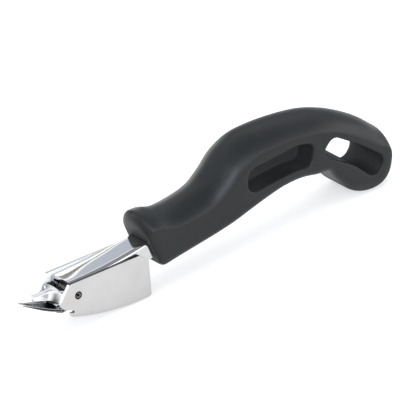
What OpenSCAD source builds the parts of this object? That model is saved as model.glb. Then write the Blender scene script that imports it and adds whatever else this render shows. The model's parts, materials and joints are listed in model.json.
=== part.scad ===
// Heavy-duty staple remover: a rocking shoe with a beak closes on a two-tine fork.
// The head is drawn with the pivot at the origin, +X along the handle and +Z up, and
// the whole tool is then tipped to rest on its sole and on the tail of the handle.

/* [Head] */
// Thickness of the plated steel sheet
sheet_t = 1.5; // [1.2:0.1:1.7]
// Outer width of the shoe over its two cheeks
shoe_w = 17.5; // [17:0.1:19]
// Radius of the curved sole
sole_r = 106; // [104:1:108]
// Outer width of the folded shank
shank_w = 13.1; // [12.6:0.1:13.4]
// Depth of the U cut-out in the front of the sole
sole_cut = 8; // [5:0.5:10]

/* [Jaws] */
// Thickness of the pinched front of the beak
blade_t = 3.0; // [2.4:0.1:3.2]
// Half spacing of the two tine tips
tine_y = 1.7; // [1.5:0.1:2]
// Downward slope of the fork from tips to root
fork_slope = 15; // [14:0.5:16]

/* [Pivot] */
// Outer diameter of the slotted spring pin
pin_d = 3.6; // [3.2:0.1:3.8]
// Radial clearance of the pin in the shank and fork holes
pin_clear = 0.06; // [0.02:0.01:0.1]
// Wire diameter of the return spring
wire_d = 0.9; // [0.7:0.1:1.0]
// Turns in the spring's coil
spring_turns = 5; // [4:1:5]

/* [Handle] */
// Width of the handle across the grip
handle_w = 25; // [24:0.5:26]
// Width of the handle at its front face
nose_w = 22.6; // [22:0.2:24]
// Radius over the top of the front face
nose_top_r = 5; // [3:0.5:6]
// Radius down the sides of the front face
nose_side_r = 3; // [1.5:0.5:4]
// Radius under the front face
nose_low_r = 1.6; // [1:0.1:3]
// Radius along the two lower edges
lower_r = 3.5; // [2.5:0.5:5]
// Radius under the hooked tail
tail_r = 4.8; // [3:0.2:6]
// Depth of the blind recess in each side
recess_depth = 10.8; // [5:0.2:11]

/* [Hidden] */
$fn = 48;

// Rest pose: tilt about the pivot axis, then the shift onto the supporting plane
rest_tilt = 10.64;
rest_x = -70.86;
rest_z = 17.31;

// Shank: two straight runs joined by one bend
run_a_slope = 8.2;
run_b_slope = 15.6;
run_a_start = [-3, 5.6];
bend_at = [16.7, 8.44];
bend_r = 30;
weld_lap = 0.05;
tang_end_x = 76;
web_edge_r = 2.2;
channel_depth = 24;

// Shoe
cheek_in = shoe_w/2 - sheet_t;
sole_bend_r = 2.6;
sole_c = [19, -12.2 + sole_r];

// Handle stations, front to tail: top x, z, bottom x, z, half width, crown height,
// lower edge radius
tail_w = handle_w/2;
front_w = nose_w/2;
STATIONS = [
    [32.3, 24.9, 43.2, 2.1, front_w, 6.5, lower_r],
    [47.3, 25.6, 51.5, 4.9, front_w + 0.1, 6.3, lower_r],
    [56.8, 27.5, 61.8, 8.0, front_w + 0.4, 7.0, lower_r],
    [66.3, 31.2, 71.8, 11.1, tail_w - 0.5, 8.0, lower_r],
    [72.8, 37.0, 79.9, 14.0, tail_w - 0.2, 9.0, lower_r],
    [79.4, 44.3, 88.0, 17.5, tail_w, 9.0, lower_r],
    [88.0, 49.1, 97.0, 21.1, tail_w, 8.0, lower_r],
    [99.0, 51.1, 106.0, 24.1, tail_w, 7.2, lower_r],
    [112.0, 51.9, 115.0, 25.5, tail_w, 7.0, lower_r],
    [124.0, 51.4, 123.0, 25.1, tail_w, 7.0, lower_r],
    [134.0, 49.2, 129.8, 24.6, tail_w, 7.0, lower_r + 0.5],
    [142.8, 45.9, 135.2, 19.1, tail_w, 7.2, tail_r],
    [150.6, 42.0, 141.7, 13.1, tail_w, 7.5, tail_r],
    [156.9, 37.7, 149.0, 10.9, tail_w, 7.0, tail_r],
    [161.5, 33.9, 156.0, 12.0, tail_w, 5.2, tail_r],
    [162.4, 29.1, 160.4, 15.8, tail_w - 0.8, 3.5, tail_r],
    [163.2, 24.8, 162.5, 20.9, tail_w - 3.2, 1.2, lower_r]
];
STEPS = 4;
CROWN_STEPS = 6;
CORNER_STEPS = 4;

// ---------- helpers ----------

module placed() { translate([rest_x, 0, rest_z]) rotate([0, rest_tilt, 0]) children(); }

// A profile drawn in the X-Z plane, thickened symmetrically along Y
module plate(w) { rotate([90, 0, 0]) linear_extrude(w, center = true) children(); }

// A round bar or hole along Y
module y_bar(d, len) { rotate([90, 0, 0]) cylinder(d = d, h = len, center = true); }

function unit(v) = v/norm(v);

// One rounded corner of a closed outline, as points from the incoming to the outgoing side
function corner(a, b, c, r, n) =
    let (u = unit(a - b), v = unit(c - b), half = acos(u*v)/2)
    let (reach = r/tan(half), centre = b + unit(u + v)*r/sin(half))
    let (p = b + u*reach - centre, q = b + v*reach - centre, turn = 180 - 2*half)
    [for (i = [0:n]) centre + (p*sin(turn*(1 - i/n)) + q*sin(turn*i/n))/sin(turn)];

// A closed outline with a radius at each point, given as [x, z, radius]
function rounded(pts, n = 6) = [
    for (i = [0:len(pts) - 1])
        let (m = len(pts), a = pts[(i + m - 1) % m], b = pts[i], c = pts[(i + 1) % m])
        each b[2] == 0
            ? [[b[0], b[1]]]
            : corner([a[0], a[1]], [b[0], b[1]], [c[0], c[1]], b[2], n)
];

// Smooth curve through rows of numbers (Catmull-Rom)
function blend4(a, b, c, d, t) =
    0.5*(2*b + (c - a)*t + (2*a - 5*b + 4*c - d)*t*t + (3*b - a - 3*c + d)*t*t*t);
function smooth_rows(rows, steps) = let (n = len(rows)) [
    for (i = [0:n - 2], s = [0:steps - 1])
        blend4(rows[max(i - 1, 0)], rows[i], rows[i + 1], rows[min(i + 2, n - 1)], s/steps),
    rows[n - 1]
];

// A closed skin over equal rings of points; the last end is a fan round its middle
module skin(rings) {
    m = len(rings[0]);
    n = len(rings);
    last = rings[n - 1];
    polyhedron(
        points = [for (r = rings) each r, (last[0] + last[floor(m/2)])/2],
        faces = [
            [for (j = [0:m - 1]) j],
            for (i = [0:n - 2], j = [0:m - 1]) let (k = (j + 1) % m)
                each [[i*m + j, (i + 1)*m + j, (i + 1)*m + k], [i*m + j, (i + 1)*m + k, i*m + k]],
            for (j = [0:m - 1]) [(n - 1)*m + (j + 1) % m, (n - 1)*m + j, n*m]
        ]
    );
}

// ---------- handle ----------

// Half of a cross-section, bottom centre to top centre, as [side, height]
function half_section(h, w, crown, low_r) =
    let (r = min(low_r, 0.45*h, 0.75*w), c = min(crown, 0.5*h), dome = (w*w + c*c)/(2*c))
    let (open = asin(w/dome))
    [
        [0, 0],
        for (i = [0:CORNER_STEPS]) let (a = 90*i/CORNER_STEPS)
            [w - r + r*sin(a), r - r*cos(a)],
        for (i = [0:CROWN_STEPS]) let (a = open*(1 - i/CROWN_STEPS))
            [dome*sin(a), h - dome + dome*cos(a)]
    ];

// The closed ring of one station. On the rounded front edge, shrink runs from 1 on the
// face to 0 behind it, while back runs from 0 to 1.
function ring(st, shrink = 0, back = 0) =
    let (top0 = [st[0], st[1]], low0 = [st[2], st[3]], up0 = unit(top0 - low0))
    let (out = [-up0[1], up0[0]])
    let (top = top0 - nose_top_r*(up0*shrink + out*back))
    let (low = low0 + nose_low_r*(up0*shrink - out*back), up = unit(top - low))
    let (half = half_section(norm(top - low), st[4] - nose_side_r*shrink, st[5], st[6]), n = len(half))
    [
        for (i = [0:n - 1]) let (p = low + up*half[i][1]) [p[0], half[i][0], p[1]],
        for (i = [n - 2:-1:1]) let (p = low + up*half[i][1]) [p[0], -half[i][0], p[1]]
    ];

// The first few rows lie within the rounded front edge and are left out
NOSE_STEPS = 4;
FIRST_ROW = 3;
module handle_body() {
    rows = smooth_rows(STATIONS, STEPS);
    skin([
        for (j = [0:NOSE_STEPS]) let (a = 90*(1 - j/NOSE_STEPS))
            ring(STATIONS[0], 1 - cos(a), 1 - sin(a)),
        for (i = [FIRST_ROW:len(rows) - 1]) ring(rows[i])
    ]);
}

// Long blind recess in each side, leaving a web in the middle
recess_outline = rounded([
    [86.2, 25.4, 3.6], [86.3, 36.4, 4.4], [97.0, 38.4, 20], [111.5, 41.6, 12],
    [120.3, 40.5, 3.2], [118.6, 31.0, 3.6], [110.0, 30.6, 14], [98.0, 28.2, 20]
]);

// Hanging slot right through the tail
slot_outline = rounded([
    [124.2, 34.2, 3.6], [130.4, 41.3, 4.0], [142.8, 35.0, 20], [158.2, 25.4, 4.4],
    [152.4, 16.8, 4.2], [142.0, 25.4, 20]
]);

module handle() color([0.20, 0.21, 0.22]) placed() difference() {
    handle_body();
    for (side = [-1, 1])
        translate([0, side*(handle_w/2 - recess_depth/2 + 2), 0])
            plate(recess_depth + 4) polygon(recess_outline);
    plate(handle_w + 4) polygon(slot_outline);
    tang_socket();
}

// The plastic is moulded around the tang, so the socket has the tang's own outer shape
module tang_socket() {
    intersection() {
        channel_run_b();
        plate(shank_w) polygon(shank_outline);
    }
}

// ---------- shank ----------

// Web and walls of the folded channel: x across the sheet's width, y above the web's face
module channel_section() {
    difference() {
        polygon(rounded([
            [-shank_w/2, 0, web_edge_r], [shank_w/2, 0, web_edge_r],
            [shank_w/2, -channel_depth, 0], [-shank_w/2, -channel_depth, 0]
        ]));
        polygon(rounded([
            [-shank_w/2 + sheet_t, -sheet_t, web_edge_r - sheet_t],
            [shank_w/2 - sheet_t, -sheet_t, web_edge_r - sheet_t],
            [shank_w/2 - sheet_t, -channel_depth - 1, 0],
            [-shank_w/2 + sheet_t, -channel_depth - 1, 0]
        ]));
    }
}

// A straight length of channel, its web's face starting at the profile point "from"
module channel(from, slope, len) {
    translate([from[0], 0, from[1]]) rotate([0, -slope, 0])
        rotate([90, 0, 90]) linear_extrude(len) channel_section();
}

// The bend eats the same length from each straight run, and the runs lap a little into it
bend_turn = run_b_slope - run_a_slope;
bend_eats = bend_r*tan(bend_turn/2);
function along(slope, d) = [cos(slope), sin(slope)]*d;
run_b_start = bend_at + along(run_b_slope, bend_eats);
run_a_len = norm(bend_at - run_a_start) - bend_eats;
bend_centre = run_b_start + along(run_b_slope + 90, bend_r);

module channel_run_a() { channel(run_a_start, run_a_slope, run_a_len + weld_lap); }

module channel_run_b() {
    channel(run_b_start - along(run_b_slope, weld_lap), run_b_slope, tang_end_x - bend_at[0] + 8);
}

module channel_bend() {
    translate([bend_centre[0], 0, bend_centre[1]]) rotate([90, 0, 0])
        rotate([0, 0, run_a_slope - 90]) rotate_extrude(angle = bend_turn, $fn = 180)
            rotate([0, 0, 90]) translate([0, -bend_r]) channel_section();
}

// Side view of the shank: the walls taper to a shallow tang inside the handle
shank_outline = rounded([
    [-3.0, -3.4, 1.2], [-3.0, 20, 0], [tang_end_x, 45, 0],
    [tang_end_x, 16.6, 2], [40.0, 6.6, 20], [8.0, -4.6, 6]
]);

module shank() color([0.80, 0.82, 0.85]) placed() difference() {
    intersection() {
        union() {
            channel_run_a();
            channel_bend();
            channel_run_b();
        }
        plate(shank_w + 1) polygon(shank_outline);
    }
    y_bar(pin_d + 2*pin_clear, shank_w + 2);
}

// ---------- fork: the fixed lower jaw ----------

fork_t = 1.2;
fork_tip = [-23.6, -1.4];
fork_root_w = 10.1;
fork_len = 18.4;
ear_t = 1.4;

// Plan view of the fork: x back from the tips along its slope, y across
module fork_plan() {
    w = fork_root_w/2;
    difference() {
        polygon(rounded([
            [0, tine_y + 0.35, 0.3], [4.5, 2.9, 6], [13.2, w + 0.2, 3], [fork_len, w + 0.2, 0],
            [fork_len, -w - 0.2, 0], [13.2, -w - 0.2, 3], [4.5, -2.9, 6], [0, -tine_y - 0.35, 0.3]
        ]));
        polygon(rounded([
            [-1, tine_y - 0.3, 0], [-1, -tine_y + 0.3, 0], [5, -1.1, 4], [10.6, -0.35, 0.3],
            [10.6, 0.35, 0.3], [5, 1.1, 4]
        ]));
    }
}

// Side view of the fork blade: a thin tip thickening to the root
fork_side = rounded([
    [0, 0.15, 0.12], [5, 0.1, 0], [fork_len, 0, 0], [fork_len, -fork_t, 0],
    [9, -fork_t, 20], [0, -0.25, 0.12]
]);

module fork_blade() {
    translate([fork_tip[0], 0, fork_tip[1]]) rotate([0, fork_slope, 0]) intersection() {
        translate([0, 0, -4]) linear_extrude(8) fork_plan();
        plate(20) polygon(fork_side);
    }
}

// The two ears rise from the blade's root and lie against the shank's inner faces
ear_outline = rounded([
    [-8.6, -7.2, 0.4], [-7.8, -4.9, 0.8], [-2.4, -0.4, 2.5], [-2.2, 2.2, 2], [3.6, 3.0, 2.5],
    [4.4, -2.4, 2.5], [-3.2, -7.3, 1.2], [-6.0, -7.95, 0]
]);

module lower_jaw() color([0.22, 0.22, 0.24]) placed() difference() {
    union() {
        fork_blade();
        for (side = [-1, 1])
            translate([0, side*(fork_root_w - ear_t)/2, 0]) plate(ear_t) polygon(ear_outline);
    }
    y_bar(pin_d + 2*pin_clear, shank_w + 2);
}

// ---------- shoe ----------

// Side view of the shoe, cheek top to curved sole, with a relief notch behind the toe
shoe_top_front = [-4.6, 5.8];
shoe_top_rear = [31.7, 10.2];
shoe_heel = [38.1, -9.7];
sole_front_x = -1.7;
function sole_z(x) = sole_c[1] - sqrt(sole_r*sole_r - (x - sole_c[0])*(x - sole_c[0]));
shoe_outline = [
    each rounded([
        [sole_front_x, sole_z(sole_front_x), 0], [-4.3, -6.15, 0.3], [-2.3, -7.7, 0.3],
        [-1.9, -6.6, 0.3], [-4.6, -5.65, 0.3], [-6.9, -5.2, 1.2], [-9.75, -2.9, 0.8],
        [shoe_top_front[0], shoe_top_front[1], 0.8], [shoe_top_rear[0], shoe_top_rear[1], 1.2],
        [36.5, 6.9, 1.6], [shoe_heel[0], sole_z(shoe_heel[0]) + 0.2, 0.6]
    ]),
    for (i = [0:12]) let (x = 37.6 + (sole_front_x - 37.6)*i/12) [x, sole_z(x) - 1]
];

// Folded channel swept round the sole's centre: x is the radius, y the width
module shoe_section() {
    depth = 26;
    difference() {
        polygon(rounded([
            [sole_r - depth, -shoe_w/2, 0], [sole_r, -shoe_w/2, sole_bend_r],
            [sole_r, shoe_w/2, sole_bend_r], [sole_r - depth, shoe_w/2, 0]
        ]));
        polygon(rounded([
            [sole_r - depth - 1, -cheek_in, 0],
            [sole_r - sheet_t, -cheek_in, sole_bend_r - sheet_t],
            [sole_r - sheet_t, cheek_in, sole_bend_r - sheet_t],
            [sole_r - depth - 1, cheek_in, 0]
        ]));
    }
}

// Room in front of the sole for the fork
module sole_cutout() {
    half = cheek_in - 1.6;
    translate([sole_front_x - 6, 0, -14]) linear_extrude(8) polygon(rounded([
        [0, -half, 0], [sole_cut + 6, -half, 4], [sole_cut + 6, half, 4], [0, half, 0]
    ]));
}

module shoe() color([0.85, 0.86, 0.87]) placed() difference() {
    intersection() {
        translate([sole_c[0], 0, sole_c[1]]) rotate([90, 0, 0])
            rotate([0, 0, -108]) rotate_extrude(angle = 30, $fn = 240) shoe_section();
        plate(shoe_w + 1) polygon(shoe_outline);
    }
    sole_cutout();
    y_bar(pin_d, shoe_w + 2);
}

// ---------- beak: the moving upper jaw, fixed between the cheeks ----------

// Rings from the blunt tip back to the flare: x, half width, bottom z, shoulder z, crest z
BEAK = [
    [-17.9, blade_t/2 - 0.5, -1.1, 0.4, 0.7],
    [-17.5, blade_t/2 - 0.1, -1.3, 0.6, 1.0],
    [-14.0, blade_t/2, -1.95, 0.9, 1.5],
    [-11.0, blade_t/2, -2.55, 1.1, 2.0],
    [-9.8, blade_t/2 + 0.35, -2.8, 1.15, 2.25],
    [-8.8, 3.0, -2.95, 1.15, 2.5],
    [-7.9, 5.1, -3.05, 1.05, 2.75],
    [-7.2, 6.6, -3.15, 0.9, 2.95],
    [-6.4, cheek_in - 0.05, -3.05, 0.8, 3.1],
    [-5.4, cheek_in, -2.9, 0.8, 3.2],
    [-3.5, cheek_in, -2.9, 0.8, 3.3]
];
BEAK_STEPS = 3;
SHOULDER_STEPS = 8;

// Straight sides below, and shoulders that fall from the crest in a quarter ellipse
function beak_ring(row) =
    let (w = row[1], low = row[2], side = row[3], rise = row[4] - row[3])
    let (half = [
        [0, low], [w - 0.4, low], [w - 0.1, low + 0.12], [w, low + 0.45],
        for (i = [0:SHOULDER_STEPS]) let (a = 90*i/SHOULDER_STEPS) [w*cos(a), side + rise*sin(a)]
    ], n = len(half))
    [
        for (i = [0:n - 1]) [row[0], half[i][0], half[i][1]],
        for (i = [n - 2:-1:1]) [row[0], -half[i][0], half[i][1]]
    ];

// Hollow between the two flanges, clear of the fork's ears and of the spring
beak_inside = rounded([
    [-7.1, -cheek_in + 2.4, 0.8], [-5.4, -cheek_in + sheet_t, 0.8], [0, -cheek_in + sheet_t, 0],
    [0, cheek_in - sheet_t, 0], [-5.4, cheek_in - sheet_t, 0.8], [-7.1, cheek_in - 2.4, 0.8]
]);

module upper_jaw() color([0.78, 0.80, 0.83]) placed() difference() {
    skin([for (row = smooth_rows(BEAK, BEAK_STEPS)) beak_ring(row)]);
    translate([0, 0, -12]) linear_extrude(24) polygon(beak_inside);
}

// ---------- pivot pin ----------

pin_wall = 1.1;
pin_slot = 0.7;

module pivot_pin() color([0.10, 0.10, 0.11]) placed() difference() {
    y_bar(pin_d, shoe_w);
    y_bar(pin_d - 2*pin_wall, shoe_w + 1);
    rotate([0, 35, 0]) translate([-pin_d, 0, 0]) cube([2*pin_d, shoe_w + 1, pin_slot], center = true);
}

// ---------- return spring ----------

coil_r = pin_d/2 + 0.25 + wire_d/2;
coil_pitch = wire_d + 0.12;
coil_half = spring_turns*coil_pitch/2;
WIRE_SIDES = 8;
TURN_STEPS = 16;
upper_leg_end = [13.0, 5.88];
lower_leg_end = [15.0, -10.1];

// The legs leave the coil along tangents, which fix where the coil starts and ends
function tangent_angle(p, side) = atan2(p[1], p[0]) + side*acos(coil_r/norm(p));
coil_from = tangent_angle(upper_leg_end, 1);
coil_to = tangent_angle(lower_leg_end, -1);
coil_sweep = 360*spring_turns + (coil_to - coil_from);
function coil_point(f) = let (a = coil_from + coil_sweep*f)
    [coil_r*cos(a), coil_half*(2*f - 1), coil_r*sin(a)];
wire_path = [
    [upper_leg_end[0], -coil_half, upper_leg_end[1]],
    for (i = [0:TURN_STEPS*spring_turns]) coil_point(i/(TURN_STEPS*spring_turns)),
    [lower_leg_end[0], coil_half, lower_leg_end[1]]
];

// Ring of the wire at point i, across the path's direction there
function wire_ring(path, i) =
    let (n = len(path), t = unit(path[min(i + 1, n - 1)] - path[max(i - 1, 0)]))
    let (u = unit(cross(t, [0, 1, 0])), v = cross(t, u))
    [for (k = [0:WIRE_SIDES - 1]) let (a = 360*k/WIRE_SIDES)
        path[i] + (u*cos(a) + v*sin(a))*wire_d/2];

module return_spring() color([0.55, 0.56, 0.58]) placed()
    skin([for (i = [0:len(wire_path) - 1]) wire_ring(wire_path, i)]);

handle();
shank();
lower_jaw();
shoe();
upper_jaw();
pivot_pin();
return_spring();
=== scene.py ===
import json
from math import asin, cos, pi, radians, sin, tan

import bmesh
import bpy
import numpy as np
from mathutils import Matrix, Vector


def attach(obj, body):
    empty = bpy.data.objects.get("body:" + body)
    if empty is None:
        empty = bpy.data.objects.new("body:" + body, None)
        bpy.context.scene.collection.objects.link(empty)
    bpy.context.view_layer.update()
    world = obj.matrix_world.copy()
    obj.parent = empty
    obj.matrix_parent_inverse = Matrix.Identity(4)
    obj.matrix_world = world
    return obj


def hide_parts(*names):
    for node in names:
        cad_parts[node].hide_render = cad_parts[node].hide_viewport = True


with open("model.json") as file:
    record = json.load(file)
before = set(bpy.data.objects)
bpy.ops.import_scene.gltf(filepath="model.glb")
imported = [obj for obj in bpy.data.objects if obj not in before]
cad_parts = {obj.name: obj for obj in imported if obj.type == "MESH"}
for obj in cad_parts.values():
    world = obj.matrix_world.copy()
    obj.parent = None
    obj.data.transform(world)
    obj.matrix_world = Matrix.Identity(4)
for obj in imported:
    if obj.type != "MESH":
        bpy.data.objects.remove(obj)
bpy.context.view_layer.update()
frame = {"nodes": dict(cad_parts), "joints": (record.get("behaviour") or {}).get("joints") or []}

MM = 0.001
HANDLE_BODY = "handle_body"
SHOE_BODY = "shoe_body"

# The tool's own frame: the pivot at the origin, the head level, millimetres.
# The row frame holds the tool tipped to rest on its sole and its tail.
REST_TILT = radians(10.64)
PIVOT = Vector(frame["joints"][0]["pos_m"])
TO_ROW = Matrix.Translation(PIVOT) @ Matrix.Rotation(REST_TILT, 4, "Y") @ Matrix.Scale(MM, 4)


# ---------------------------------------------------------------- camera

# The photo's direction, measured in the tool's own frame. The camera stands far off, with a long
# lens, because the photo's view is nearly parallel. Lengths are in millimetres.
CAM_RIGHT = Vector((0.809, -0.588, 0.0)).normalized()
CAM_UP = Vector((0.228, 0.314, 0.921)).normalized()
CAM_AIM = Vector((72.2, -1.9, 19.6))
CAM_DISTANCE = 8000.0
VIEW_WIDTH = 175.5
SENSOR = 36.0


def make_camera():
    data = bpy.data.cameras.new("camera")
    data.sensor_width = SENSOR
    data.lens = SENSOR*CAM_DISTANCE/VIEW_WIDTH
    data.clip_start = 0.1
    data.clip_end = 100.0
    camera = bpy.data.objects.new("camera", data)
    bpy.context.scene.collection.objects.link(camera)
    back = CAM_RIGHT.cross(CAM_UP).normalized()
    up = back.cross(CAM_RIGHT)
    tilt = TO_ROW.to_3x3().normalized()
    turn = Matrix((tilt @ CAM_RIGHT, tilt @ up, tilt @ back)).transposed()
    place = TO_ROW @ (CAM_AIM + back*CAM_DISTANCE)
    camera.matrix_world = Matrix.Translation(place) @ turn.to_4x4()
    bpy.context.scene.camera = camera


# ---------------------------------------------------------------- node helpers

class Graph:
    """A material's node tree, with short calls for what the materials below repeat."""

    def __init__(self, name):
        self.material = bpy.data.materials.new(name)
        self.material.use_nodes = True
        self.tree = self.material.node_tree
        self.shader = self.tree.nodes["Principled BSDF"]
        self.coords = self.tree.nodes.new("ShaderNodeTexCoord").outputs["Object"]

    def node(self, kind, **settings):
        made = self.tree.nodes.new(kind)
        for key, value in settings.items():
            setattr(made, key, value)
        return made

    def link(self, a, b):
        self.tree.links.new(a, b)

    def stretched(self, scale, turn=(0, 0, 0)):
        mapping = self.node("ShaderNodeMapping")
        mapping.inputs["Scale"].default_value = scale
        mapping.inputs["Rotation"].default_value = turn
        self.link(self.coords, mapping.inputs["Vector"])
        return mapping.outputs["Vector"]

    def noise(self, scale, detail=3.0, rough=0.5, vector=None):
        made = self.node("ShaderNodeTexNoise")
        made.inputs["Scale"].default_value = scale
        made.inputs["Detail"].default_value = detail
        made.inputs["Roughness"].default_value = rough
        self.link(vector or self.coords, made.inputs["Vector"])
        return made.outputs["Fac"]

    def ramp(self, value, stops):
        made = self.node("ShaderNodeValToRGB")
        ramp = made.color_ramp
        while len(ramp.elements) < len(stops):
            ramp.elements.new(0.5)
        for element, (place, colour) in zip(ramp.elements, stops):
            element.position = place
            element.color = (*colour, 1) if isinstance(colour, tuple) else (colour,)*3 + (1,)
        self.link(value, made.inputs["Fac"])
        return made.outputs["Color"]

    def span(self, value, low, high, to_low=0.0, to_high=1.0):
        made = self.node("ShaderNodeMapRange")
        made.inputs["From Min"].default_value = low
        made.inputs["From Max"].default_value = high
        made.inputs["To Min"].default_value = to_low
        made.inputs["To Max"].default_value = to_high
        self.link(value, made.inputs["Value"])
        return made.outputs["Result"]

    def math(self, operation, a, b):
        made = self.node("ShaderNodeMath", operation=operation)
        for socket, value in zip(made.inputs, (a, b)):
            if isinstance(value, (int, float)):
                socket.default_value = value
            else:
                self.link(value, socket)
        return made.outputs["Value"]

    def mix(self, factor, a, b):
        made = self.node("ShaderNodeMix", data_type="RGBA")
        for socket, value in zip((made.inputs[0], made.inputs[6], made.inputs[7]), (factor, a, b)):
            if isinstance(value, (int, float)):
                socket.default_value = value
            elif isinstance(value, tuple):
                socket.default_value = (*value, 1)
            else:
                self.link(value, socket)
        return made.outputs[2]

    def bump(self, height, strength, distance):
        """A bump that is distance high, in millimetres."""
        made = self.node("ShaderNodeBump")
        made.inputs["Strength"].default_value = strength
        made.inputs["Distance"].default_value = distance*MM
        self.link(height, made.inputs["Height"])
        return made.outputs["Normal"]

    def crevice(self, reach, shut=0.10, clear=0.55):
        """0 in a gap narrower than reach, in millimetres, rising to 1 in the open."""
        open_sky = self.node("ShaderNodeAmbientOcclusion", samples=8)
        open_sky.inputs["Distance"].default_value = reach*MM
        return self.span(open_sky.outputs["AO"], shut, clear)

    def part(self, vector, axis):
        """One axis of a vector."""
        made = self.node("ShaderNodeSeparateXYZ")
        self.link(vector, made.inputs["Vector"])
        return made.outputs[axis]

    def inner_side(self):
        """1 on faces of the side walls that look towards the middle plane, 0 elsewhere."""
        normal = self.part(self.node("ShaderNodeNewGeometry").outputs["Normal"], "Y")
        return self.span(self.math("MULTIPLY", normal, self.part(self.coords, "Y")), -3*MM, -6*MM)

    def top_edge(self):
        """1 on faces that look up and lie more than 20 mm above the table, 0 elsewhere."""
        normal = self.node("ShaderNodeNewGeometry").outputs["Normal"]
        upward = self.span(self.part(normal, "Z"), 0.80, 0.92)
        return self.math("MULTIPLY", upward, self.span(self.part(self.coords, "Z"), 18*MM, 20*MM))

    def from_pivot(self):
        """Distance from the pivot's axis, in metres."""
        offset = self.node("ShaderNodeVectorMath", operation="SUBTRACT")
        self.link(self.coords, offset.inputs[0])
        offset.inputs[1].default_value = PIVOT
        flat = self.node("ShaderNodeVectorMath", operation="MULTIPLY")
        self.link(offset.outputs["Vector"], flat.inputs[0])
        flat.inputs[1].default_value = (1, 0, 1)
        length = self.node("ShaderNodeVectorMath", operation="LENGTH")
        self.link(flat.outputs["Vector"], length.inputs[0])
        return length.outputs["Value"]

    def edges(self, low, high):
        """1 on the mesh's convex edges, 0 on its flats."""
        geometry = self.node("ShaderNodeNewGeometry")
        return self.span(geometry.outputs["Pointiness"], low, high)

    def near_edge(self, reach):
        """1 along a sharp edge, to the given reach in millimetres on both sides of it."""
        turned = self.node("ShaderNodeBevel", samples=8)
        turned.inputs["Radius"].default_value = reach*MM
        dot = self.node("ShaderNodeVectorMath", operation="DOT_PRODUCT")
        self.link(turned.outputs["Normal"], dot.inputs[0])
        self.link(self.node("ShaderNodeNewGeometry").outputs["Normal"], dot.inputs[1])
        return self.span(dot.outputs["Value"], 0.995, 0.95)

    def finish(self, base, rough, normal, metallic=0.0):
        """Joins what is given to the shader and returns the material."""
        for socket, value in (("Base Color", base), ("Roughness", rough), ("Normal", normal)):
            self.link(value, self.shader.inputs[socket])
        if isinstance(metallic, float):
            self.shader.inputs["Metallic"].default_value = metallic
        else:
            self.link(metallic, self.shader.inputs["Metallic"])
        return self.material


# Linear colours
PLASTIC_DEEP = (0.0090, 0.0104, 0.0110)
PLASTIC_PALE = (0.0112, 0.0128, 0.0134)
PLASTIC_RUBBED = (0.030, 0.031, 0.033)
# painted light: the paler colour painted into the plastic's recesses
PLASTIC_RECESS_LIGHT = (0.0320, 0.0322, 0.0334)
# painted shade: the near black painted into gaps between pieces of plate
GAP_SHADE_BLACK = (0.030, 0.030, 0.032)
# painted shade: the dark painted on the upper edge of the near side wall
EDGE_PAINTED_SHADE = (0.05, 0.05, 0.052)
# painted reflection: the pale colour painted on side-wall faces that look inwards
INNER_PAINTED_REFLECTION = (0.93, 0.94, 0.95)
BARE_STEEL = (0.62, 0.62, 0.63)
PIN_DEEP = (0.006, 0.006, 0.007)
PIN_PALE = (0.012, 0.012, 0.013)
# painted highlight: the grey ring painted round the pin's bore
PIN_HIGHLIGHT = (0.18, 0.18, 0.185)
WIRE_DEEP = (0.13, 0.125, 0.12)
WIRE_PALE = (0.22, 0.21, 0.20)
# How much of the plate's colour is left where it is dimmest
DIMMED = (0.95, 0.93, 0.91)
# A painted highlight rings the pin's bore out to this radius, on its ends beyond this distance
# from the middle
PIN_HIGHLIGHT_R = (1.15, 1.05)
PIN_END_Y = (8.3, 8.6)


def plastic_material():
    """Black moulded plastic: faint flow clouds, a fine spark-eroded grain and rubbed edges.

    Recesses are painted paler, painted light that lifts their shade.
    """
    g = Graph("grip_plastic")
    cloud = g.noise(38, 3, 0.55)
    grain = g.noise(2600, 2, 0.5)
    base = g.ramp(cloud, [(0.3, PLASTIC_DEEP), (0.7, PLASTIC_PALE)])
    rub = g.math("MULTIPLY", g.edges(0.51, 0.57), g.span(g.noise(160, 4, 0.6), 0.4, 0.7))
    rubbed = g.mix(g.math("MULTIPLY", rub, 0.2), base, PLASTIC_RUBBED)
    shaded = g.crevice(12.0, 0.30, 0.80)
    scratches = g.noise(700, 3, 0.6, g.stretched((0.15, 1.0, 0.6), (0.0, 0.6, 0.3)))
    scuffs = g.math("MULTIPLY", g.span(scratches, 0.62, 0.74), 0.07)
    rough = g.math("ADD", g.span(cloud, 0.3, 0.7, 0.37, 0.43), scuffs)
    rough = g.math("ADD", rough, g.span(shaded, 0.0, 1.0, 0.5, 0.0))
    g.shader.inputs["Specular IOR Level"].default_value = 0.24
    # painted light: where the open sky is shut off, in recesses, the colour is painted paler
    return g.finish(g.mix(shaded, PLASTIC_RECESS_LIGHT, rubbed), rough, g.bump(grain, 0.10, 0.06))


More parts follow.
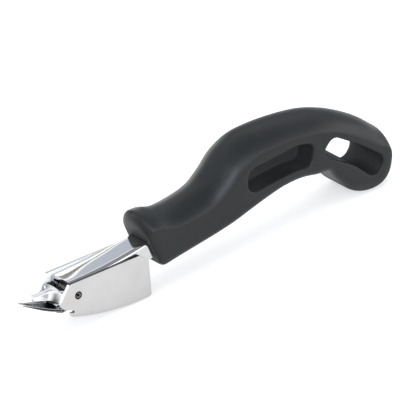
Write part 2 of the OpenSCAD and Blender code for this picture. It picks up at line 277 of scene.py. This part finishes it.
def chrome_material(name, colour, rough, ripple, scuffs, gap_shade_reach, shade=(0.10, 0.55), inside=0.0):
    """Bright plate: slight orange peel, drawn polishing marks, and painted shade that darkens the
    gaps between pieces.

    How far that painted shade reaches into a gap is given in millimetres. Where inside is given,
    faces of the side walls that look towards the tool's middle are painted paler, less metallic
    and rougher by that much, a painted reflection, and the upper edge on the near side is painted
    dark, a painted shade. They stand in for what such plate mirrors in the photo.
    """
    g = Graph(name)
    cloud = g.noise(70, 4, 0.6)
    peel = g.noise(420, 2, 0.5)
    lines = g.noise(900, 2, 0.5, g.stretched((0.08, 1.0, 1.0), (0.0, 0.35, 0.0)))
    marks = g.math("MULTIPLY", g.span(lines, 0.60, 0.72), scuffs)
    dim = tuple(c*f for c, f in zip(colour, DIMMED))
    clean = g.mix(g.span(cloud, 0.35, 0.65), colour, dim)
    rough_map = g.math("ADD", g.span(cloud, 0.3, 0.7, rough*0.8, rough*1.3), marks)
    metallic = 1.0
    if inside:
        within = g.inner_side()
        near_side = g.span(g.part(g.coords, "Y"), -1*MM, 1*MM, 1.0, 0.3)
        # painted reflection: inward faces of the side walls are painted pale and made less
        # metallic
        clean = g.mix(within, clean, INNER_PAINTED_REFLECTION)
        # painted shade: the near side's upper edge is painted dark
        clean = g.mix(g.math("MULTIPLY", g.top_edge(), near_side), clean, EDGE_PAINTED_SHADE)
        rough_map = g.math("ADD", rough_map, g.math("MULTIPLY", within, inside))
        metallic = g.span(within, 0.0, 1.0, 1.0, 0.15)
    # painted shade: narrow gaps between pieces are painted towards black
    base = g.mix(g.crevice(gap_shade_reach, *shade), GAP_SHADE_BLACK, clean)
    return g.finish(base, rough_map, g.bump(peel, ripple, 0.03), metallic)


def dark_steel_material(name, colour, rough, bare):
    """Blackened steel that is worn bright along its edges."""
    g = Graph(name)
    cloud = g.noise(500, 3, 0.6)
    deep = tuple(c*0.6 for c in colour)
    base = g.mix(g.span(cloud, 0.35, 0.7), deep, colour)
    worn = g.mix(g.math("MULTIPLY", g.near_edge(0.5), bare), base, BARE_STEEL)
    rough_map = g.span(cloud, 0.3, 0.7, rough*0.8, rough*1.3)
    return g.finish(worn, rough_map, g.bump(cloud, 0.2, 0.02), 1.0)


def pin_material():
    """Blackened spring pin, with a painted highlight ringing its bore on the ends."""
    g = Graph("pin_steel")
    cloud = g.noise(500, 3, 0.6)
    base = g.mix(g.span(cloud, 0.35, 0.7), PIN_DEEP, PIN_PALE)
    # painted highlight: a grey ring round the bore on the pin's ends
    highlight_ring = g.span(g.from_pivot(), *(r*MM for r in PIN_HIGHLIGHT_R))
    end = g.span(g.math("ABSOLUTE", g.part(g.coords, "Y"), 0.0), *(y*MM for y in PIN_END_Y))
    base = g.mix(g.math("MULTIPLY", highlight_ring, end), base, PIN_HIGHLIGHT)
    return g.finish(base, g.span(cloud, 0.3, 0.7, 0.28, 0.42), g.bump(cloud, 0.2, 0.02), 0.9)


def spring_material():
    """Drawn wire, with fine lines."""
    g = Graph("spring_steel")
    drawn = g.noise(1500, 3, 0.6, g.stretched((1.0, 0.3, 1.0)))
    base = g.ramp(drawn, [(0.3, WIRE_DEEP), (0.7, WIRE_PALE)])
    return g.finish(base, g.span(drawn, 0.3, 0.7, 0.22, 0.38), g.bump(drawn, 0.25, 0.02), 1.0)


MATERIALS = {
    "grip_plastic": plastic_material(),
    "mirror_chrome": chrome_material(
        "mirror_chrome", (0.54, 0.55, 0.56), rough=0.045, ripple=0.03, scuffs=0.03, gap_shade_reach=2.6,
        shade=(0.28, 0.58),
    ),
    "plated_steel": chrome_material(
        "plated_steel", (0.51, 0.505, 0.502), rough=0.16, ripple=0.10, scuffs=0.06, gap_shade_reach=1.2,
        inside=0.3,
    ),
    "jaw_steel": chrome_material(
        "jaw_steel", (0.80, 0.815, 0.84), rough=0.26, ripple=0.10, scuffs=0.06, gap_shade_reach=0.8,
    ),
    "pin_steel": pin_material(),
    "fork_steel": dark_steel_material("fork_steel", (0.050, 0.050, 0.053), rough=0.24, bare=0.6),
    "spring_steel": spring_material(),
}


def paint(piece, name):
    piece.data.materials.clear()
    piece.data.materials.append(MATERIALS[name])


# ---------------------------------------------------------------- mesh helpers

def mesh_object(name, verts, faces):
    mesh = bpy.data.meshes.new(name)
    mesh.from_pydata([TO_ROW @ Vector(v) for v in verts], [], faces)
    made = bpy.data.objects.new(name, mesh)
    bpy.context.scene.collection.objects.link(made)
    tidy = bmesh.new()
    tidy.from_mesh(mesh)
    bmesh.ops.recalc_face_normals(tidy, faces=tidy.faces)
    tidy.to_mesh(mesh)
    tidy.free()
    return made


def skin(name, rings):
    """A closed skin over equal rings of points."""
    count = len(rings[0])
    verts = [p for ring in rings for p in ring]
    faces = [list(range(count)), [len(verts) - count + k for k in range(count)]]
    for i in range(len(rings) - 1):
        for j in range(count):
            k = (j + 1) % count
            faces.append([i*count + j, (i + 1)*count + j, (i + 1)*count + k, i*count + k])
    return mesh_object(name, verts, faces)


def rounded(points, steps=10):
    """A closed flat outline with its corners rounded, from (across, up, radius) of each."""
    out = []
    for i, (x, z, radius) in enumerate(points):
        here = Vector((x, z))
        if radius == 0:
            out.append(here)
            continue
        before = (Vector(points[i - 1][:2]) - here).normalized()
        after = (Vector(points[(i + 1) % len(points)][:2]) - here).normalized()
        half = before.angle(after)/2
        centre = here + (before + after).normalized()*radius/sin(half)
        start = here + before*radius/tan(half) - centre
        stop = here + after*radius/tan(half) - centre
        turn = pi - 2*half
        for s in range(steps + 1):
            f = s/steps
            out.append(centre + (start*sin(turn*(1 - f)) + stop*sin(turn*f))/sin(turn))
    return out


def evaluated_copy(source, name):
    """A plain mesh object with the source's modifiers applied; the source is removed."""
    depsgraph = bpy.context.evaluated_depsgraph_get()
    mesh = bpy.data.meshes.new_from_object(source.evaluated_get(depsgraph))
    bpy.data.objects.remove(source)
    mesh.name = name
    made = bpy.data.objects.new(name, mesh)
    bpy.context.scene.collection.objects.link(made)
    return made


def smooth_shading(piece):
    piece.data.polygons.foreach_set("use_smooth", [True]*len(piece.data.polygons))


# ---------------------------------------------------------------- handle

HANDLE_W = 25.0
NOSE_TOP_R = 5.0
NOSE_SIDE_R = 3.0
NOSE_LOW_R = 1.6
NOSE_STOP = radians(16)
LOWER_R = 3.5
TAIL_R = 4.8
CREASE_R = 2.4
RECESS_DEPTH = 10.8
RIM_DEEP = 1.4
RECESS_FLARE = 0.7
SLOT_FLARE = 0.3
TAIL_W = HANDLE_W/2
FRONT_W = 11.3

# Front to tail: top x, z, bottom x, z, half width, crown height, lower edge radius
STATIONS = np.array([
    (32.3, 24.9, 43.2, 2.1, FRONT_W, 6.5, LOWER_R),
    (40.0, 26.7, 46.6, 3.3, FRONT_W, 6.4, LOWER_R),
    (47.3, 25.6, 51.5, 4.9, FRONT_W + 0.1, 6.3, LOWER_R),
    (56.8, 27.5, 61.8, 8.0, FRONT_W + 0.4, 7.0, LOWER_R),
    (66.3, 31.2, 71.8, 11.1, TAIL_W - 0.5, 8.0, LOWER_R),
    (72.8, 37.0, 79.9, 14.0, TAIL_W - 0.2, 9.0, LOWER_R),
    (79.4, 44.3, 88.0, 17.5, TAIL_W, 9.0, LOWER_R),
    (88.0, 49.1, 97.0, 21.1, TAIL_W, 8.0, LOWER_R),
    (99.0, 51.1, 106.0, 24.1, TAIL_W, 7.2, LOWER_R),
    (112.0, 51.9, 115.0, 25.5, TAIL_W, 7.0, LOWER_R),
    (124.0, 51.4, 123.0, 25.1, TAIL_W, 7.0, LOWER_R),
    (134.0, 49.2, 129.8, 24.6, TAIL_W, 7.0, LOWER_R + 0.5),
    (142.8, 45.9, 135.2, 19.1, TAIL_W, 7.2, TAIL_R),
    (150.6, 42.0, 141.7, 13.1, TAIL_W, 7.5, TAIL_R),
    (156.9, 37.7, 149.0, 10.9, TAIL_W, 7.0, TAIL_R),
    (161.5, 33.9, 156.0, 12.0, TAIL_W, 5.2, TAIL_R),
    (162.4, 29.1, 160.4, 15.8, TAIL_W - 0.8, 3.5, TAIL_R),
    (163.2, 24.8, 162.5, 20.9, TAIL_W - 3.2, 1.2, LOWER_R),
])
STATION_STEPS = 10
NOSE_STEPS = 8
VOXEL = 0.42
SMOOTHINGS = 7
CUT_PAST = 4.0

# Outlines: x, z, radius
RECESS = [
    (86.2, 25.4, 3.6), (86.3, 36.4, 4.4), (97.0, 38.4, 20), (111.5, 41.6, 12),
    (120.3, 40.5, 3.2), (118.6, 31.0, 3.6), (110.0, 30.6, 14), (98.0, 28.2, 20),
]
HANGING_SLOT = [
    (124.2, 34.2, 3.6), (130.4, 41.3, 4.0), (142.8, 35.0, 20), (158.2, 25.4, 4.4),
    (152.4, 16.8, 4.2), (142.0, 25.4, 20),
]


def smooth_rows(rows, steps):
    """Catmull-Rom curve through rows of numbers."""
    last = len(rows) - 1
    out = []
    for i in range(last):
        a, b, c, d = rows[max(i - 1, 0)], rows[i], rows[i + 1], rows[min(i + 2, last)]
        for t in np.arange(steps)/steps:
            cubic = (2*b + (c - a)*t + (2*a - 5*b + 4*c - d)*t**2 + (3*b - a - 3*c + d)*t**3)
            out.append(cubic/2)
    return out + [rows[last]]


def half_section(height, width, crown, low_r):
    """Half of a cross-section, bottom centre to top centre, as (side, height)."""
    r = min(low_r, 0.45*height, 0.75*width)
    c = min(crown, 0.5*height)
    dome = (width**2 + c**2)/(2*c)
    fillet = min(CREASE_R, 0.36*c)
    # the crease between the flat side and the dome is rounded by a circle that touches both
    drop = dome - fillet
    centre_y = width - fillet
    centre_z = height - dome + (drop**2 - centre_y**2)**0.5
    join = asin(centre_y/drop)
    points = [(0.0, 0.0)]
    points += [(f*(width - r), 0.0) for f in (0.35, 0.7)]
    points += [(width - r + r*sin(a), r - r*cos(a)) for a in np.linspace(0, pi/2, 6)]
    points += [(width, r + (centre_z - r)*f) for f in (0.2, 0.4, 0.6, 0.8)]
    bend = np.linspace(0, pi/2 - join, 5)
    points += [(centre_y + fillet*cos(a), centre_z + fillet*sin(a)) for a in bend]
    points += [(dome*sin(a), height - dome + dome*cos(a)) for a in np.linspace(join, 0, 10)[1:]]
    return points


def lip_row(turn):
    """The front station, drawn in by the rounding of its edge.

    turn is a quarter turn on the front face and falls towards the rows behind it.
    """
    row = STATIONS[0].copy()
    shrink, back = 1 - cos(turn), 1 - sin(turn)
    up = (Vector(row[0:2]) - Vector(row[2:4])).normalized()
    out = Vector((-up.y, up.x))
    row[0:2] -= NOSE_TOP_R*(up*shrink + out*back)
    row[2:4] += NOSE_LOW_R*(up*shrink - out*back)
    row[4] -= NOSE_SIDE_R*shrink
    return row


def handle_ring(row):
    """The closed ring of one station."""
    top, low = Vector(row[0:2]), Vector(row[2:4])
    up = (top - low).normalized()
    half = half_section((top - low).length, *row[4:7])
    right = [(low + up*h, w) for w, h in half]
    ring = [(p.x, w, p.y) for p, w in right]
    return ring + [(p.x, -w, p.y) for p, w in right[-2:0:-1]]


def flared_cutter(name, outline, flare, levels):
    """A cutter along Y, as (y, share of the flare) levels, that widens the mouth it leaves."""
    count = len(outline)
    pushed = []
    for i, point in enumerate(outline):
        along = outline[(i + 1) % count] - outline[i - 1]
        pushed.append((point, Vector((along.y, -along.x)).normalized()*flare))
    middle = sum(outline, Vector((0, 0)))/count
    if (outline[0] - middle).dot(pushed[0][1]) < 0:
        pushed = [(point, -push) for point, push in pushed]
    return skin(name, [[(p.x + q.x*f, y, p.y + q.y*f) for p, q in pushed] for y, f in levels])


def make_handle():
    rows = [lip_row(turn) for turn in np.linspace(pi/2, NOSE_STOP, NOSE_STEPS)]
    rows += smooth_rows([lip_row(NOSE_STOP), *STATIONS[1:]], STATION_STEPS)[1:]
    block = skin("handle_block", [handle_ring(row) for row in rows])
    mouth = [(TAIL_W - RIM_DEEP, 0), (TAIL_W, 1), (TAIL_W + CUT_PAST, 1)]
    floor = [(TAIL_W - RECESS_DEPTH, 0)]
    cutters = []
    for side in (-1, 1):
        levels = [(side*y, f) for y, f in floor + mouth]
        cutters.append(flared_cutter("recess_cut", rounded(RECESS), RECESS_FLARE, levels))
    through = [(-y, f) for y, f in mouth[::-1]] + mouth
    cutters.append(flared_cutter("slot_cut", rounded(HANGING_SLOT), SLOT_FLARE, through))
    cut_away(block, cutters)
    remesh = block.modifiers.new("remesh", "REMESH")
    remesh.mode = "VOXEL"
    remesh.voxel_size = VOXEL*MM
    smooth = block.modifiers.new("smooth", "SMOOTH")
    smooth.factor = 0.5
    smooth.iterations = SMOOTHINGS
    handle = evaluated_copy(block, "handle_moulding")
    for cutter in cutters:
        bpy.data.objects.remove(cutter)
    smooth_shading(handle)
    stand_for(handle, "handle", HANDLE_BODY, "grip_plastic")


# ---------------------------------------------------------------- sheet metal

FLAT_LIMIT = 35
WELD_REACH = 0.002
SAME_PLANE = radians(0.6)


def dress(piece, width, flat_limit=FLAT_LIMIT):
    """Rounds the edges that turn by more than flat_limit degrees, and shades flat faces flat."""
    bevel = piece.modifiers.new("edge_break", "BEVEL")
    bevel.width = width*MM
    bevel.segments = 3
    bevel.limit_method = "ANGLE"
    bevel.angle_limit = radians(flat_limit)
    bevel.miter_outer = "MITER_ARC"
    normals = piece.modifiers.new("flat_faces", "WEIGHTED_NORMAL")
    normals.mode = "FACE_AREA_WITH_ANGLE"
    normals.weight = 90
    smooth_shading(piece)


def soften(node, width, material):
    """Gives a CAD node its material, clean faces and broken edges."""
    piece = frame["nodes"][node]
    weld = piece.modifiers.new("weld", "WELD")
    weld.merge_threshold = WELD_REACH*MM
    flat = piece.modifiers.new("flat", "DECIMATE")
    flat.decimate_type = "DISSOLVE"
    flat.angle_limit = SAME_PLANE
    dress(piece, width)
    paint(piece, material)


def cut_away(piece, cutters):
    for cutter in cutters:
        cut = piece.modifiers.new("cut", "BOOLEAN")
        cut.object = cutter
        cut.operation = "DIFFERENCE"
        cut.solver = "EXACT"


def stand_for(piece, node, body, slot_name):
    """Puts a finished piece in the place of a CAD node."""
    paint(piece, slot_name)
    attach(piece, body)
    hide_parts(node)


SHEET_T = 1.5
SHANK_W = 13.1
WEB_EDGE_R = 2.2
# How far the web bulges and leans sideways: places along X, and the amount at each
WEB_CROWN = ((-3.0, 15.0, 24.0), (0.05, 0.13, 0.14))
WEB_ROLL = ((-3.0, 15.0), (-0.018, 0.0))
# The web's first run: x and z of its front edge, and its slope
RUN_A = (-3.0, 5.6, tan(radians(8.2)))
BEND_X, BEND_Z = 16.7, 8.44
RUN_B_SLOPE = tan(radians(15.6))
BEND_HALF = 14.0
BEND_DONE = 36.0
BEND_RINGS = 27
TANG_RINGS = (42, 50, 60, 68)
TANG_END = 75.9
PIN_HOLE_R = 1.86
# Lower edge of the walls, front to tang: x, z
WALL_FOOT = [(-3.0, -3.4), (5.0, -4.2), (8.0, -4.5), (12.0, -3.4), (40.0, 6.6), (76.0, 16.6)]


def web_height(x):
    """Height of the web's outer face on the middle line, with the bend eased."""
    run_a = RUN_A[1] + (x - RUN_A[0])*RUN_A[2]
    run_b = BEND_Z + (x - BEND_X)*RUN_B_SLOPE
    into = x - (BEND_X - BEND_HALF)
    if into <= 0:
        return run_a
    if into >= 2*BEND_HALF:
        return run_b
    return run_a + (RUN_B_SLOPE - RUN_A[2])*into**2/(4*BEND_HALF)


def channel_ring(x):
    """Section of the folded channel at x: up the outside, over the web and back inside."""
    top, foot = web_height(x), float(np.interp(x, *zip(*WALL_FOOT)))
    half = SHANK_W/2
    crown, roll = np.interp(x, *WEB_CROWN), np.interp(x, *WEB_ROLL)

    def arch(half, top, radius):
        flat = half - radius
        turn = np.linspace(0, pi/2, 9)
        corner = [(flat + radius*cos(a), top - radius + radius*sin(a)) for a in turn]
        web = [(flat*f, top) for f in (0.75, 0.5, 0.25, 0.0, -0.25, -0.5, -0.75)]
        path = corner + web + [(-y, z) for y, z in corner[::-1]]
        return [(y, z - crown*min(abs(y)/flat, 1)**2 + roll*y) for y, z in path]

    outer = [(half, foot)] + arch(half, top, WEB_EDGE_R) + [(-half, foot)]
    within = half - SHEET_T
    inner = arch(within, top - SHEET_T, WEB_EDGE_R - SHEET_T)[::-1]
    inner = [(-within, foot)] + inner + [(within, foot)]
    return [(x, y, z) for y, z in outer + inner]


def pin_cutter(radius, length):
    turns = [2*pi*i/32 for i in range(32)]
    rings = [[(radius*cos(a), y, radius*sin(a)) for a in turns] for y in (-length/2, length/2)]
    return skin("pin_cutter", rings)


def make_shank():
    places = [*np.linspace(RUN_A[0], BEND_DONE, BEND_RINGS), *TANG_RINGS, TANG_END]
    shank = skin("shank_channel", [channel_ring(x) for x in places])
    cutter = pin_cutter(PIN_HOLE_R, SHANK_W + CUT_PAST)
    cut_away(shank, [cutter])
    shank = evaluated_copy(shank, "shank_channel")
    bpy.data.objects.remove(cutter)
    dress(shank, 0.12)
    stand_for(shank, "shank", HANDLE_BODY, "mirror_chrome")


# ---------------------------------------------------------------- beak

BLADE_T = 3.0
CHEEK_IN = 7.25
# From the blunt tip back to the flare: x, half width, bottom z, shoulder z, crest z
BEAK = np.array([
    (-17.9, BLADE_T/2 - 0.5, -1.1, 0.4, 0.7),
    (-17.5, BLADE_T/2 - 0.1, -1.3, 0.6, 1.0),
    (-14.0, BLADE_T/2, -1.95, 0.9, 1.5),
    (-11.0, BLADE_T/2, -2.55, 1.1, 2.0),
    (-9.8, BLADE_T/2 + 0.35, -2.8, 1.15, 2.25),
    (-8.8, 3.0, -2.95, 1.15, 2.5),
    (-7.9, 5.1, -3.05, 1.05, 2.75),
    (-7.2, 6.6, -3.15, 0.9, 2.95),
    (-6.4, CHEEK_IN - 0.05, -3.05, 0.8, 3.1),
    (-5.4, CHEEK_IN, -2.9, 0.8, 3.2),
    (-3.5, CHEEK_IN, -2.9, 0.8, 3.3),
])
# Seen from above: x, y, radius
BEAK_HOLLOW = [
    (-7.1, -CHEEK_IN + 2.4, 0.8), (-5.4, -CHEEK_IN + SHEET_T, 0.8), (0, -CHEEK_IN + SHEET_T, 0),
    (0, CHEEK_IN - SHEET_T, 0), (-5.4, CHEEK_IN - SHEET_T, 0.8), (-7.1, CHEEK_IN - 2.4, 0.8),
]
HOLLOW_REACH = 12.0
BEAK_STEPS = 7


def beak_ring(row):
    """Straight sides below, and shoulders that fall from the crest in a quarter ellipse."""
    x, width, low, side, crest = row
    half = [(0.0, low), (width - 0.4, low), (width - 0.1, low + 0.12), (width, low + 0.45)]
    half += [(width*cos(a), side + (crest - side)*sin(a)) for a in np.linspace(0, pi/2, 15)]
    return [(x, y, z) for y, z in half] + [(x, -y, z) for y, z in half[-2:0:-1]]


def make_beak():
    beak = skin("beak_blade", [beak_ring(row) for row in smooth_rows(BEAK, BEAK_STEPS)])
    rings = [[(p.x, p.y, z) for p in rounded(BEAK_HOLLOW)] for z in (-HOLLOW_REACH, HOLLOW_REACH)]
    cutter = skin("hollow_cutter", rings)
    cut_away(beak, [cutter])
    beak = evaluated_copy(beak, "beak_blade")
    bpy.data.objects.remove(cutter)
    dress(beak, 0.10, 50)
    stand_for(beak, "upper_jaw", SHOE_BODY, "jaw_steel")


# ---------------------------------------------------------------- studio

# What a mirror sees above the table, by sine of the elevation over the level head: on the camera's
# side of the tool, and behind the tool, where a bright panel and a blue-grey backdrop hang
FRONT_SKY = [
    (0.20, (0.90, 0.90, 0.90)), (0.34, (3.4, 3.45, 3.5)), (0.52, (3.4, 3.45, 3.5)),
    (0.62, (0.45, 0.46, 0.48)),
]
BACK_SKY = [
    (0.30, (0.30, 0.33, 0.35)), (0.495, (0.34, 0.36, 0.37)), (0.506, (0.43, 0.39, 0.32)),
    (0.518, (0.43, 0.39, 0.32)), (0.523, (1.85, 1.85, 1.85)), (0.537, (1.85, 1.85, 1.85)),
    (0.542, (0.84, 0.89, 0.98)), (0.74, (0.84, 0.89, 0.98)), (0.78, (1.8, 1.8, 1.8)),
    (0.85, (1.8, 1.8, 1.8)), (0.89, (0.45, 0.46, 0.48)),
]
SKY_PEAK = 3.5
# How far a direction points to +Y where the front sky gives way to the back sky
SKY_TURN = (-0.15, 0.25)


def world_light():
    world = bpy.data.worlds.new("studio")
    bpy.context.scene.world = world
    world.use_nodes = True
    tree = world.node_tree
    background = tree.nodes["Background"]
    coords = tree.nodes.new("ShaderNodeTexCoord")

    def along(direction):
        dot = tree.nodes.new("ShaderNodeVectorMath")
        dot.operation = "DOT_PRODUCT"
        dot.inputs[1].default_value = direction
        tree.links.new(coords.outputs["Generated"], dot.inputs[0])
        return dot.outputs["Value"]

    def bands(height, stops):
        ramp = tree.nodes.new("ShaderNodeValToRGB")
        while len(ramp.color_ramp.elements) < len(stops):
            ramp.color_ramp.elements.new(0.5)
        for element, (place, colour) in zip(ramp.color_ramp.elements, stops):
            element.position = place
            element.color = (*(c/SKY_PEAK for c in colour), 1)
        tree.links.new(height, ramp.inputs["Fac"])
        return ramp.outputs["Color"]

    height = along((sin(REST_TILT), 0, cos(REST_TILT)))
    side = tree.nodes.new("ShaderNodeMapRange")
    side.interpolation_type = "SMOOTHSTEP"
    side.inputs["From Min"].default_value, side.inputs["From Max"].default_value = SKY_TURN
    tree.links.new(along((0, 1, 0)), side.inputs["Value"])
    mix = tree.nodes.new("ShaderNodeMix")
    mix.data_type = "RGBA"
    tree.links.new(side.outputs["Result"], mix.inputs[0])
    tree.links.new(bands(height, FRONT_SKY), mix.inputs[6])
    tree.links.new(bands(height, BACK_SKY), mix.inputs[7])
    tree.links.new(mix.outputs[2], background.inputs["Color"])
    background.inputs["Strength"].default_value = SKY_PEAK


def area(name, place, target, size, radiance, colour=(1, 1, 1), mirrored=True):
    """A soft panel light of the given radiance, hidden from the camera."""
    data = bpy.data.lights.new(name, "AREA")
    data.shape = "RECTANGLE"
    data.size, data.size_y = size
    data.energy = radiance*pi*size[0]*size[1]
    data.color = colour
    light = bpy.data.objects.new(name, data)
    bpy.context.scene.collection.objects.link(light)
    light.location = place
    light.rotation_euler = (Vector(target) - Vector(place)).to_track_quat("-Z", "Y").to_euler()
    light.visible_camera = False
    light.visible_glossy = mirrored


# The paper is lit from below as well, so that the tool casts only a faint shadow
FLOOR_GLOW = 0.52
FLOOR_SIZE = 30.0


def make_floor():
    corners = [(-1, -1), (1, -1), (1, 1), (-1, 1)]
    mesh = bpy.data.meshes.new("floor")
    mesh.from_pydata([(x*FLOOR_SIZE, y*FLOOR_SIZE, 0) for x, y in corners], [], [(0, 1, 2, 3)])
    floor = bpy.data.objects.new("floor", mesh)
    bpy.context.scene.collection.objects.link(floor)
    g = Graph("floor_paper")
    paper = g.noise(6, 4, 0.6)
    g.link(g.ramp(paper, [(0.3, 0.49), (0.7, 0.51)]), g.shader.inputs["Base Color"])
    g.shader.inputs["Emission Color"].default_value = (1, 1, 1, 1)
    g.shader.inputs["Emission Strength"].default_value = FLOOR_GLOW
    g.shader.inputs["Roughness"].default_value = 0.9
    g.shader.inputs["Specular IOR Level"].default_value = 0.1
    mesh.materials.append(g.material)


def make_studio():
    make_floor()
    world_light()
    # an overhead fill that no mirror sees, a bluish window on the near side, a small white card on
    # the far side by the shank, and a panel that whitens the front edges of the cheeks
    window_blue = (0.74, 0.83, 1.0)
    area("fill", (0, 0, 1.5), (0, 0, 0), (1.6, 1.6), 2.2, mirrored=False)
    area("window", (-0.163, -0.50, 0.27), (0.012, -0.011, 0.037), (0.10, 0.14), 24, window_blue)
    area("card", (0.022, 0.12, 0.055), (0.022, 0, 0.055), (0.064, 0.061), 1.8)
    area("side_panel", (-0.34, 0.37, 0.22), (-0.075, 0, 0.02), (0.26, 0.26), 2.4)
    scene = bpy.context.scene
    scene.view_settings.view_transform = "Standard"
    scene.view_settings.look = "None"


make_camera()
make_handle()
make_shank()
make_beak()
soften("shoe", 0.22, "plated_steel")
soften("lower_jaw", 0.08, "fork_steel")
soften("pivot_pin", 0.30, "pin_steel")
paint(frame["nodes"]["return_spring"], "spring_steel")
smooth_shading(frame["nodes"]["return_spring"])
make_studio()
